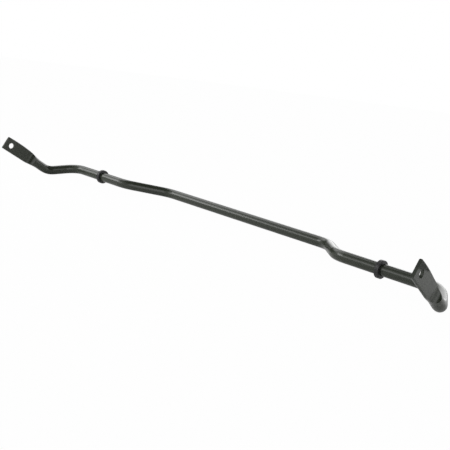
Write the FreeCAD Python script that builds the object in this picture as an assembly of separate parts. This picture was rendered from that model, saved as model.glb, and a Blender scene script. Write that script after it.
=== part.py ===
import FreeCAD, Part
import os
from math import asin, cos, degrees, pi, radians, sin, tan
from FreeCAD import Vector

# Anti-roll bar: one bent steel tube, pressed flat and drilled at both ends, with two stop rings.
# Millimetres. X runs along the bar, both arms reach towards -Y, and Z is up. The bar lies as it
# comes to rest on a floor, within a third of a degree: on both elbows and its middle run.

# Tube
bar_d = 20.0
tube_wall = 2.4

# Centre line, as the corners where its straight runs would meet, measured from the outer runs
middle_half = 219.0        # along X, from the middle of the bar to the inner corner of a jog
jog_length = 68.0          # along X, from the inner to the outer corner of a jog
setback = 70.0             # of the middle run, towards +Y
middle_drop = 7.5          # of the middle run, below the outer runs
shoulder_x = 476.0         # along X, from the middle of the bar to the corner of a shoulder
elbow_out = 33.0           # from the shoulder to the elbow, along X
elbow_forward = 60.0       # from the shoulder to the elbow, towards -Y
elbow_drop = 9.0           # from the shoulder to the elbow, downwards
arm_run = 28.0             # from the elbow to the start of the neck
arm_rise = 33.0            # degrees that an arm climbs above the floor
arm_splay = 3.5            # degrees that an arm leans outwards
arm_twist = 3.4            # degrees that the right arm stands higher than the left, about the bar
bend_r = 43.0              # centre-line radius of the jogs and shoulders
elbow_r = 31.0             # centre-line radius of the elbows

# Pressed eyes
eye_length = 57.0          # flat part of the eye
neck_length = 40.0         # from the flat to the full round
pinch_length = 20.0        # stretch of the neck in which the tube would swell to its height by itself
eye_root_w = 29.0
eye_end_w = 29.1
eye_lean = 0.6             # of the middle of the flat: below the arm's axis at the end, above at the root
eye_bow = 1.0              # by which the upper edge of the flat bows out between its end and its root
eye_corner_r = 1.8
corner_flare = 10.0        # degrees by which the trimmed corners open towards the bowed edge
hole_d = 12.2              # for an M12 stud of a drop link
hole_inset = 16.0          # from the end of the eye to the middle of the hole
hole_break = 0.3           # chamfer on both rims of the hole
pinch_gap = 0.6            # height of the slit where the tube's bore dies out
outboard_die = 35.0        # stretch of the neck that the outboard press die holds down
inboard_die = 25.0         # stretch of the neck that the inboard press die holds down
die_nose = 16.0            # rounded end of each die, along the neck
die_clearance = 0.05       # of a die over the flat, where the neck leaves it

# Stop rings
ring_inset = 103.0         # along X, from the corner of a shoulder inwards to the middle of a ring
ring_od = 30.0
ring_w = 8.0
ring_edge_r = 1.2
ring_clearance = 0.02      # radial, of the pressed-on ring

# Worked out from the sizes above
bore_d = bar_d - 2 * tube_wall
eye_t = 2 * tube_wall
arm_length = arm_run + neck_length + eye_length
ring_x = shoulder_x - ring_inset
EYE_STATIONS = 8
NECK_STATIONS = 8


def mirrored(side, x, y, z):
    """A point of the right half, or its mirror image for side -1."""
    return Vector(side * x, y, z)


def elbow_corner(side):
    corner = mirrored(side, shoulder_x + elbow_out, -elbow_forward, -elbow_drop)
    return twisted(side, corner)


def arm_direction(side):
    """Unit vector from the elbow to the end of the eye."""
    rise = radians(arm_rise)
    splay = radians(arm_splay)
    level = cos(splay) * cos(rise)
    climb = cos(splay) * sin(rise)
    return twisted(side, mirrored(side, sin(splay), -level, climb))


def twisted(side, vector):
    """The vector turned about the outer runs by half of the twist between the arms."""
    turn = FreeCAD.Rotation(Vector(1, 0, 0), -side * arm_twist / 2)
    return turn.multVec(vector)


def eye_frame(side):
    """End point of an eye, and its unit axes: inwards along the arm, across it, and its normal."""
    outwards = arm_direction(side)
    end = elbow_corner(side) + outwards * arm_length
    inwards = outwards * -1
    bar_axis = Vector(side, 0, 0)
    normal = (bar_axis - inwards * bar_axis.dot(inwards)).normalize()
    across = inwards.cross(normal)
    return end, inwards, across, normal


def half_route(side):
    """Corners of the centre line from the middle run to where the tube is still round."""
    end, inwards, across, normal = eye_frame(side)
    return [
        mirrored(side, middle_half, setback, -middle_drop),
        mirrored(side, middle_half + jog_length, 0, 0),
        mirrored(side, shoulder_x, 0, 0),
        elbow_corner(side),
        end + inwards * (eye_length + neck_length),
    ]


def route():
    """Corners of the whole centre line, from the left neck to the right one, and their radii."""
    half_radii = [bend_r, bend_r, bend_r, elbow_r]
    return half_route(-1)[::-1] + half_route(1), half_radii[::-1] + half_radii


def straight_rod(start, stop, radius):
    return Part.makeCylinder(radius, (stop - start).Length, start, stop - start)


def bent_rod(before, corner, after, bend_radius, radius):
    """Bend of a round rod between two runs, with the points where it starts and stops."""
    back = (before - corner).normalize()
    ahead = (after - corner).normalize()
    half_angle = back.getAngle(ahead) / 2
    start = corner + back * (bend_radius / tan(half_angle))
    stop = corner + ahead * (bend_radius / tan(half_angle))
    centre = corner + (back + ahead).normalize() * (bend_radius / sin(half_angle))
    section = Part.Face(Part.Wire([Part.Circle(start, back, radius).toShape()]))
    axis = ahead.cross(back)
    return section.revolve(centre, axis, degrees(pi - 2 * half_angle)), start, stop


def round_rod(diameter):
    """A round rod along the whole centre line: straight runs and tangent bends."""
    corners, radii = route()
    radius = diameter / 2
    pieces = []
    run_start = corners[0]
    for before, corner, after, bend_radius in zip(corners, corners[1:], corners[2:], radii):
        bend, start, stop = bent_rod(before, corner, after, bend_radius, radius)
        pieces.append(straight_rod(run_start, start, radius))
        pieces.append(bend)
        run_start = stop
    pieces.append(straight_rod(run_start, corners[-1], radius))
    return pieces[0].fuse(pieces[1:])


def oval_wire(centre, across, normal, width, height, junction):
    """Four tangent arcs. The end arcs reach up to the junction angle, and at 90 degrees the
    long sides are straight, so a circle turns into a slot without a crease."""
    long_half = width / 2
    short_half = height / 2
    c = cos(junction)
    s = sin(junction)
    span = c * s - (1 - c) * (1 - s)
    end_r = (c * short_half - (1 - s) * long_half) / span
    x = long_half - end_r * (1 - c)
    y = end_r * s

    def at(u, v):
        return centre + across * u + normal * v

    def arc(p, q, r):
        return Part.Arc(at(*p), at(*q), at(*r)).toShape()

    def long_side(sign):
        if c < 1e-6:
            return Part.LineSegment(at(sign * x, sign * y), at(-sign * x, sign * y)).toShape()
        return arc((sign * x, sign * y), (0, sign * short_half), (-sign * x, sign * y))

    return Part.Wire([
        arc((x, -y), (long_half, 0), (x, y)),
        long_side(1),
        arc((-x, y), (-long_half, 0), (-x, -y)),
        long_side(-1),
    ])


def ease(share):
    """Smooth step from 0 to 1."""
    share = min(1.0, max(0.0, share))
    return share * share * (3 - 2 * share)


def neck(side, round_d, flat_w, flat_h):
    """Transition from the round tube to the flat of the eye."""
    end, inwards, across, normal = eye_frame(side)
    wires = []
    for station in range(NECK_STATIONS + 1):
        run = neck_length * station / NECK_STATIONS
        spread = ease(run / neck_length)
        lift = ease(run / pinch_length)
        width = flat_w + (round_d - flat_w) * spread
        height = flat_h + (round_d - flat_h) * lift
        junction = pi / 2 - pi / 4 * lift
        rise = eye_lean * (1 - spread)
        centre = end + inwards * (eye_length + run) - across * (side * rise)
        wires.append(oval_wire(centre, across, normal, width, height, junction))
    return Part.makeLoft(wires, True, False).common(die_space(side, round_d, flat_h))


def die_space(side, round_d, flat_h):
    """Space between the two press dies along a neck. Each die is flat up to its nose, an arc that
    rises to the height of the round tube, where it ends in an arched edge on the tube."""
    end, inwards, across, normal = eye_frame(side)
    root = end + inwards * eye_length - across * bar_d
    low = flat_h / 2 + die_clearance
    high = round_d / 2
    nose_r = (die_nose ** 2 + (high - low) ** 2) / (2 * (high - low))
    half_turn = asin(die_nose / nose_r) / 2
    middle = nose_r * sin(half_turn)
    middle_height = low + nose_r * (1 - cos(half_turn))
    beyond = neck_length + bar_d

    def at(run, height):
        return root + inwards * run + normal * height

    def line(start, stop):
        return Part.LineSegment(at(*start), at(*stop)).toShape()

    def half(sign, die_end):
        """Die and free space on one side of the flat."""
        nose = die_end - die_nose
        arc = Part.Arc(at(nose, sign * low), at(nose + middle, sign * middle_height),
                       at(die_end, sign * high))
        return [
            line((0, sign * low), (nose, sign * low)),
            arc.toShape(),
            line((die_end, sign * high), (die_end, sign * bar_d)),
            line((die_end, sign * bar_d), (beyond, sign * bar_d)),
        ]

    ends = [line((beyond, bar_d), (beyond, -bar_d)), line((0, -low), (0, low))]
    edges = half(1, outboard_die) + half(-1, inboard_die) + ends
    wire = Part.Wire(Part.sortEdges(edges)[0])
    return Part.Face(wire).extrude(across * (2 * bar_d))


def eye_blank(side):
    """Flat of the eye with its rolled edges. Its lower edge is straight and its upper edge bows."""
    end, inwards, across, normal = eye_frame(side)
    wires = []
    for station in range(EYE_STATIONS + 1):
        share = station / EYE_STATIONS
        bow = eye_bow * 4 * share * (1 - share)
        width = eye_end_w + (eye_root_w - eye_end_w) * share + bow
        rise = eye_lean * (2 * share - 1) + bow / 2
        centre = end + inwards * (eye_length * share) - across * (side * rise)
        wires.append(oval_wire(centre, across, normal, width, eye_t, pi / 2))
    return Part.makeLoft(wires, True, True)


def eye_outline(side):
    """Block that trims the end of an eye square, with rounded corners."""
    end, inwards, across, normal = eye_frame(side)
    middle = end + across * (side * eye_lean)
    half = eye_end_w / 2
    r = eye_corner_r
    k = r * (1 - cos(pi / 4))
    open_half = half + (eye_length - r) * tan(radians(corner_flare))

    def at(u, v):
        return middle + across * u + inwards * v - normal * eye_t

    edges = [
        Part.LineSegment(at(-open_half, eye_length), at(-half, r)).toShape(),
        Part.Arc(at(-half, r), at(-half + k, k), at(-half + r, 0)).toShape(),
        Part.LineSegment(at(-half + r, 0), at(half - r, 0)).toShape(),
        Part.Arc(at(half - r, 0), at(half - k, k), at(half, r)).toShape(),
        Part.LineSegment(at(half, r), at(open_half, eye_length)).toShape(),
        Part.LineSegment(at(open_half, eye_length), at(-open_half, eye_length)).toShape(),
    ]
    return Part.Face(Part.Wire(edges)).extrude(normal * (2 * eye_t))


def hole_tool(side):
    """Drill for the eye, with a countersink that breaks each rim."""
    end, inwards, across, normal = eye_frame(side)
    middle = end + inwards * hole_inset
    hole_r = hole_d / 2
    tool = Part.makeCylinder(hole_r, 2 * eye_t, middle - normal * eye_t, normal)
    for direction in (normal, normal * -1):
        rim = middle + direction * (eye_t / 2 - hole_break)
        cone = Part.makeCone(hole_r, hole_r + 2 * hole_break, 2 * hole_break, rim, direction)
        tool = tool.fuse(cone)
    return tool


def bar():
    """The bent tube with both eyes. Its bore ends where the tube is pressed shut."""
    solid = round_rod(bar_d)
    void = round_rod(bore_d)
    for side in (-1, 1):
        eye = eye_blank(side).common(eye_outline(side)).cut(hole_tool(side))
        solid = solid.fuse([neck(side, bar_d, eye_root_w, eye_t), eye])
        void = void.fuse(neck(side, bore_d, eye_root_w - eye_t, pinch_gap))
    return solid.removeSplitter().cut(void.removeSplitter())


def stop_ring(side):
    """Ring pressed onto an outer run, with its outer edges rounded."""
    start = Vector(side * ring_x - ring_w / 2, 0, 0)
    axis = Vector(1, 0, 0)
    body = Part.makeCylinder(ring_od / 2, ring_w, start, axis)
    rims = [edge for edge in body.Edges if isinstance(edge.Curve, Part.Circle)]
    body = body.makeFillet(ring_edge_r, rims)
    return body.cut(Part.makeCylinder(bar_d / 2 + ring_clearance, ring_w, start, axis))


def placed(nodes):
    """The nodes moved so that the bar stands on Z = 0, centred front to back."""
    box = nodes["bar"].optimalBoundingBox(False, False)
    shift = Vector(0, -(box.YMin + box.YMax) / 2, -box.ZMin)
    for shape in nodes.values():
        shape.translate(shift)
    return nodes


def main():
    os.makedirs("parts", exist_ok=True)
    nodes = placed({
        "bar": bar(),
        "left_stop_ring": stop_ring(-1),
        "right_stop_ring": stop_ring(1),
    })
    for name, shape in nodes.items():
        shape.exportStep("parts/" + name + ".step")
        print(name, len(shape.Solids), round(shape.Volume, 1), shape.isValid())


main()
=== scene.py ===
"""Looks of an anti-roll bar: the coat of the bent tube and of its two stop rings, and the studio
around them. Metres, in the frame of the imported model: X runs along the bar, both arms reach
towards -Y, Z is up and the bar lies on the floor at Z = 0."""

from math import cos, pi, radians, sin

import bmesh
import bpy
from bpy.props import FloatProperty, FloatVectorProperty, PointerProperty
from bpy.types import Operator, Panel, PropertyGroup
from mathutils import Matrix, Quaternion, Vector

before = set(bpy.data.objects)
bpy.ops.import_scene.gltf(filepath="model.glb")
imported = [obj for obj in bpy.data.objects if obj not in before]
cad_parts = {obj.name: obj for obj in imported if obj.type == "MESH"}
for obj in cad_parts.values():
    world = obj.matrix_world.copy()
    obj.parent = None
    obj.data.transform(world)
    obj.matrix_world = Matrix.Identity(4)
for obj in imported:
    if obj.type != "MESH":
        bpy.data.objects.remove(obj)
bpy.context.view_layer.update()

# Above a slanting plane at the top of the eyes the coat turns rougher and its colour is darkened with
# painted shade:
# the plane's upward direction, its distance from the origin and the width of the change, in metres
DULL_AND_SHADE_UPWARDS = Vector((0.0, 0.24, 0.97))
DULL_AND_SHADE_START = 0.0505
DULL_AND_SHADE_FADE = 0.004

# How the slanting plane wanders: features in a metre, and by how much, in metres
WANDER_DENSITY = 120.0
WANDER_WIDTH = 0.003

# How much darker the painted shade makes the coat, and how much rougher the coat turns, above the
# slanting plane
PAINTED_SHADE_TINT = 0.85
DULL_ROUGHENING = 0.6

# Patches of uneven tone in a metre
PATCH_DENSITY = 14.0

# Orange peel of the coat: features in a metre, their height in metres and how much of it shows
PEEL_DENSITY = 260.0
PEEL_HEIGHT = 0.0004
PEEL_STRENGTH = 0.12

# Soft panels of light round the bar. Azimuth from +X towards +Y, elevation and radius are in degrees,
# and the last value is how bright the middle is
PANELS = (
    (99, 8, 46, 2.4),
    (30, 4, 30, 1.5),
    (-52, 16, 30, 1.7),
    (-141, 20, 11, 4.2),
    (-153, 31, 10, 3.2),
    (-122, 20, 14, 1.5),
    (170, 43, 24, 1.5),
    (146, 32, 18, 0.8),
    (-125, 5, 60, 0.6),
)

# Share of a panel's radius inside which it has its full brightness
PANEL_CORE = 0.5

# How much the floor glows to reflected rays, in front of the bar and behind it, and where along Y
# the change starts and ends, in metres
FRONT_GLOW = 0.1
BACK_GLOW = 0.37
GLOW_START = -0.08
GLOW_END = 0.16

# Share of the floor's colour that the camera sees as plain white. The rest shows the shadow
FLOOR_WHITE = 0.98

# Lamp near the left end of the bar, in metres and watts per square metre and steradian
SOFTBOX_PLACE = Vector((-0.8, -0.75, 0.4))
SOFTBOX_TARGET = Vector((-0.35, 0.05, 0.02))
SOFTBOX_WIDTH = 0.5
SOFTBOX_RADIANCE = 5.0

bl_info = {
    "name": "Anti-Roll Bar",
    "version": (1, 0, 0),
    "blender": (4, 5, 0),
    "location": "View3D > Sidebar > Anti-Roll Bar",
    "description": "Finishes an anti-roll bar with its stop rings and sets up its studio",
    "category": "Object",
}


# Shader expressions

class Signal:
    """An output socket of a shader node. Arithmetic on it adds Math nodes."""

    def __init__(self, graph, socket):
        self.graph = graph
        self.socket = socket

    def maths(self, operation, first, second):
        return self.graph.node("ShaderNodeMath", {"operation": operation}, {0: first, 1: second})

    def __add__(self, other):
        return self.maths("ADD", self, other)

    def __sub__(self, other):
        return self.maths("SUBTRACT", self, other)

    def __rsub__(self, other):
        return self.maths("SUBTRACT", other, self)

    def __mul__(self, other):
        return self.maths("MULTIPLY", self, other)

    __radd__ = __add__
    __rmul__ = __mul__


class Graph:
    """A node tree that is built from expressions."""

    def __init__(self, tree):
        self.tree = tree
        self.tree.nodes.clear()

    def node(self, kind, settings=None, inputs=None, output=0):
        """Adds a node and returns one of its outputs. Its settings come first, then its sockets,
        each given a value or a Signal."""
        made = self.tree.nodes.new(kind)
        for name, setting in (settings or {}).items():
            setattr(made, name, setting)
        for key, given in (inputs or {}).items():
            if isinstance(given, Signal):
                self.tree.links.new(given.socket, made.inputs[key])
            else:
                made.inputs[key].default_value = given
        return Signal(self, made.outputs[output]) if len(made.outputs) else made

    def colour_mix(self, share, first, second):
        """First colour at a share of 0, second at 1."""
        return self.node("ShaderNodeMix", {"data_type": "RGBA"}, {0: share, 6: first, 7: second}, 2)

    def between(self, signal, low, high, start=0.0, stop=1.0):
        """Smooth step of a signal, from start at low to stop at high."""
        settings = {"interpolation_type": "SMOOTHSTEP"}
        inputs = {"Value": signal, "From Min": low, "From Max": high, "To Min": start, "To Max": stop}
        return self.node("ShaderNodeMapRange", settings, inputs)

    def dot(self, vector, direction):
        return self.node("ShaderNodeVectorMath", {"operation": "DOT_PRODUCT"},
                         {0: vector, 1: direction}, 1)

    def noise(self, place, scale, detail=2.0, roughness=0.5):
        inputs = {"Vector": place, "Scale": scale, "Detail": detail, "Roughness": roughness}
        return self.node("ShaderNodeTexNoise", None, inputs)


def new_material(name):
    """An empty material, its graph and its Object coordinates."""
    material = bpy.data.materials.new(name)
    material.use_nodes = True
    graph = Graph(material.node_tree)
    place = graph.node("ShaderNodeTexCoord", None, None, 3)
    return material, graph, place


def tint(colour, factor):
    """A colour made lighter or darker, with its alpha."""
    return (*[channel * factor for channel in colour[:3]], 1.0)


# Settings that a user would change

class CoatSettings(PropertyGroup):
    bar_colour: FloatVectorProperty(
        name="Bar Coat", description="Colour of the dip coat on the tube",
        default=(0.025, 0.030, 0.021), subtype="COLOR", min=0.0, max=1.0)
    bar_roughness: FloatProperty(
        name="Bar Roughness", description="Roughness of the dip coat on the tube",
        default=0.2, min=0.0, max=1.0, subtype="FACTOR")
    ring_colour: FloatVectorProperty(
        name="Ring Coat", description="Colour of the coat on the stop rings",
        default=(0.018, 0.018, 0.019), subtype="COLOR", min=0.0, max=1.0)
    ring_roughness: FloatProperty(
        name="Ring Roughness", description="Roughness of the coat on the stop rings",
        default=0.42, min=0.0, max=1.0, subtype="FACTOR")
    grain: FloatProperty(
        name="Grain", description="Width of the fine grain in the coat",
        default=0.0016, min=0.0, unit="LENGTH")


class StudioSettings(PropertyGroup):
    camera_place: FloatVectorProperty(
        name="Camera", description="Where the camera stands",
        default=(0.92075, -0.89535, 0.29467), subtype="TRANSLATION", unit="LENGTH")
    camera_azimuth: FloatProperty(
        name="Azimuth", description="Compass angle of the view, from +X towards +Y",
        default=radians(133.47), unit="ROTATION")
    camera_dip: FloatProperty(
        name="Dip", description="Angle by which the camera looks down",
        default=radians(12.58), unit="ROTATION")
    camera_roll: FloatProperty(
        name="Roll", description="Angle by which the camera leans to its left",
        default=radians(7.25), unit="ROTATION")
    lens: FloatProperty(
        name="Lens", description="Focal length in millimetres, for a sensor 36 mm wide",
        default=56.0, min=1.0)
    floor_width: FloatProperty(
        name="Floor", description="Width of the floor",
        default=24.0, min=1.0, unit="LENGTH")
    fill: FloatProperty(
        name="Fill", description="Level of the soft light from all round",
        default=0.06, min=0.0)


# The coats

def coat_material(name, colour, roughness, grain):
    """Satin coat on steel: uneven tone, fine grain and the orange peel of a dipped coat. It is
    rougher and speckled at the top of the eyes, where painted shade also darkens its colour."""
    material, graph, place = new_material(name)
    patches = graph.noise(place, PATCH_DENSITY, 3.0)
    speckle = graph.noise(place, 1.0 / grain, 2.0, 0.6)
    wander = graph.noise(place, WANDER_DENSITY)
    # Mask above the slanting plane at the top of the eyes: a rougher coat there, and painted shade in
    # its colour
    height = graph.dot(place, DULL_AND_SHADE_UPWARDS) + WANDER_WIDTH * (wander - 0.5)
    dull_and_painted_shade = graph.between(height, DULL_AND_SHADE_START, DULL_AND_SHADE_START + DULL_AND_SHADE_FADE)
    tone = graph.colour_mix(patches, tint(colour, 0.8), tint(colour, 1.2))
    grainy = graph.colour_mix(graph.between(speckle, 0.35, 0.65), tone, tint(colour, 1.35))
    # Painted shade: above the slanting plane the colour is darkened by a fixed factor, standing in
    # for a dimmer reflection there
    shade = graph.colour_mix(dull_and_painted_shade, grainy, tint(colour, PAINTED_SHADE_TINT))
    gloss = roughness - 0.04 + 0.08 * patches + 0.06 * (speckle - 0.5) + DULL_ROUGHENING * dull_and_painted_shade
    peel = graph.noise(place, PEEL_DENSITY)
    bump = graph.node("ShaderNodeBump", None, {
        "Strength": PEEL_STRENGTH, "Distance": PEEL_HEIGHT, "Height": peel + 0.4 * speckle})
    shader = graph.node("ShaderNodeBsdfPrincipled", None, {
        "Base Color": shade, "Roughness": gloss, "Normal": bump})
    graph.node("ShaderNodeOutputMaterial", None, {"Surface": shader})
    return material


def dress(node_name, material):
    """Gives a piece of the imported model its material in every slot."""
    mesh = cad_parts[node_name].data
    mesh.materials.clear()
    mesh.materials.append(material)


class ARB_OT_bar(Operator):
    """Coat the bent tube"""
    bl_idname = "arb.bar"
    bl_label = "Bar"

    def execute(self, context):
        coat = context.scene.arb_coat
        dress("bar", coat_material("satin_dip_coat", coat.bar_colour, coat.bar_roughness, coat.grain))
        return {"FINISHED"}


class ARB_OT_stop_rings(Operator):
    """Coat both stop rings"""
    bl_idname = "arb.stop_rings"
    bl_label = "Stop Rings"

    def execute(self, context):
        coat = context.scene.arb_coat
        matt = coat_material("matt_ring_coat", coat.ring_colour, coat.ring_roughness, coat.grain)
        for side in ("left", "right"):
            dress(side + "_stop_ring", matt)
        return {"FINISHED"}


# The studio

def direction(azimuth, elevation):
    """Unit vector at an azimuth from +X towards +Y and an elevation, both in degrees."""
    a = radians(azimuth)
    e = radians(elevation)
    return Vector((cos(a) * cos(e), sin(a) * cos(e), sin(e)))


def make_floor(width):
    """White floor. The camera sees it almost white, with a faint shadow under the bar."""
    mesh = bpy.data.meshes.new("floor")
    shell = bmesh.new()
    bmesh.ops.create_circle(shell, cap_ends=True, segments=64, radius=width / 2)
    shell.to_mesh(mesh)
    shell.free()
    floor = bpy.data.objects.new("floor", mesh)
    bpy.context.scene.collection.objects.link(floor)
    material, graph, place = new_material("white_floor")
    paint = graph.node("ShaderNodeBsdfDiffuse", None, {"Color": (0.8, 0.8, 0.8, 1.0)})
    glow = graph.node("ShaderNodeEmission", None, {"Color": (1.0, 1.0, 1.0, 1.0), "Strength": 1.0})
    camera_ray = graph.node("ShaderNodeLightPath", None, None, "Is Camera Ray")
    glossy_ray = graph.node("ShaderNodeLightPath", None, None, "Is Glossy Ray")
    back = graph.dot(place, Vector((0.0, 1.0, 0.0)))
    sheen = graph.between(back, GLOW_START, GLOW_END, FRONT_GLOW, BACK_GLOW)
    share = FLOOR_WHITE * camera_ray + sheen * glossy_ray
    surface = graph.node("ShaderNodeMixShader", None, {0: share, 1: paint, 2: glow})
    graph.node("ShaderNodeOutputMaterial", None, {"Surface": surface})
    mesh.materials.append(material)
    return floor


def make_world(fill):
    """White to the camera. To the bar it is a dim room with soft bright panels round it."""
    world = bpy.data.worlds.new("studio")
    world.use_nodes = True
    bpy.context.scene.world = world
    graph = Graph(world.node_tree)
    ray = graph.node("ShaderNodeTexCoord", None, None, "Generated")
    level = fill
    for azimuth, elevation, radius, radiance in PANELS:
        toward = graph.dot(ray, direction(azimuth, elevation))
        rim = cos(radians(radius))
        full = cos(radians(radius * PANEL_CORE))
        level = level + graph.between(toward, rim, full, 0.0, radiance)
    camera_ray = graph.node("ShaderNodeLightPath", None, None, "Is Camera Ray")
    strength = camera_ray + (1 - camera_ray) * level
    background = graph.node("ShaderNodeBackground", None, {"Color": (1, 1, 1, 1),
                                                           "Strength": strength})
    graph.node("ShaderNodeOutputWorld", None, {"Surface": background})


def make_softbox(place, target, width, radiance):
    """Square lamp that faces a target and brightens the far end of the bar. It is seen neither by
    the camera nor in the coat."""
    lamp = bpy.data.lights.new("softbox", "AREA")
    lamp.size = width
    lamp.energy = radiance * pi * width * width
    box = bpy.data.objects.new("softbox", lamp)
    bpy.context.scene.collection.objects.link(box)
    box.location = place
    box.rotation_mode = "QUATERNION"
    box.rotation_quaternion = (place - target).to_track_quat("Z", "Y")
    box.visible_camera = False
    box.visible_glossy = False


def make_camera(studio):
    """Camera of the photograph: it looks down the bar from its right end and leans a little."""
    lens = bpy.data.cameras.new("camera")
    lens.sensor_width = 36.0
    lens.lens = studio.lens
    camera = bpy.data.objects.new("camera", lens)
    bpy.context.scene.collection.objects.link(camera)
    azimuth = studio.camera_azimuth
    dip = studio.camera_dip
    forward = Vector((cos(azimuth) * cos(dip), sin(azimuth) * cos(dip), -sin(dip)))
    camera.location = studio.camera_place
    camera.rotation_mode = "QUATERNION"
    camera.rotation_quaternion = (
        Quaternion(forward, -studio.camera_roll) @ forward.to_track_quat("-Z", "Y"))
    bpy.context.scene.camera = camera


class ARB_OT_studio(Operator):
    """Build the floor, the light and the camera"""
    bl_idname = "arb.studio"
    bl_label = "Studio"

    def execute(self, context):
        studio = context.scene.arb_studio
        make_floor(studio.floor_width)
        make_world(studio.fill)
        make_softbox(SOFTBOX_PLACE, SOFTBOX_TARGET, SOFTBOX_WIDTH, SOFTBOX_RADIANCE)
        make_camera(studio)
        context.scene.view_settings.view_transform = "Standard"
        return {"FINISHED"}


class ARB_PT_panel(Panel):
    bl_idname = "ARB_PT_panel"
    bl_label = "Anti-Roll Bar"
    bl_space_type = "VIEW_3D"
    bl_region_type = "UI"
    bl_category = "Anti-Roll Bar"

    def draw(self, context):
        coat = context.scene.arb_coat
        studio = context.scene.arb_studio
        column = self.layout.column()
        for name in ("bar_colour", "bar_roughness", "ring_colour", "ring_roughness", "grain"):
            column.prop(coat, name)
        column.operator(ARB_OT_bar.bl_idname)
        column.operator(ARB_OT_stop_rings.bl_idname)
        for name in ("camera_place", "camera_azimuth", "camera_dip", "camera_roll", "lens",
                     "floor_width", "fill"):
            column.prop(studio, name)
        column.operator(ARB_OT_studio.bl_idname)


CLASSES = (CoatSettings, StudioSettings, ARB_OT_bar, ARB_OT_stop_rings, ARB_OT_studio, ARB_PT_panel)


def register():
    for cls in CLASSES:
        bpy.utils.register_class(cls)
    bpy.types.Scene.arb_coat = PointerProperty(type=CoatSettings)
    bpy.types.Scene.arb_studio = PointerProperty(type=StudioSettings)


def unregister():
    del bpy.types.Scene.arb_studio
    del bpy.types.Scene.arb_coat
    for cls in reversed(CLASSES):
        bpy.utils.unregister_class(cls)


def main():
    register()
    bpy.ops.arb.bar()
    bpy.ops.arb.stop_rings()
    bpy.ops.arb.studio()


if __name__ == "__main__":
    main()
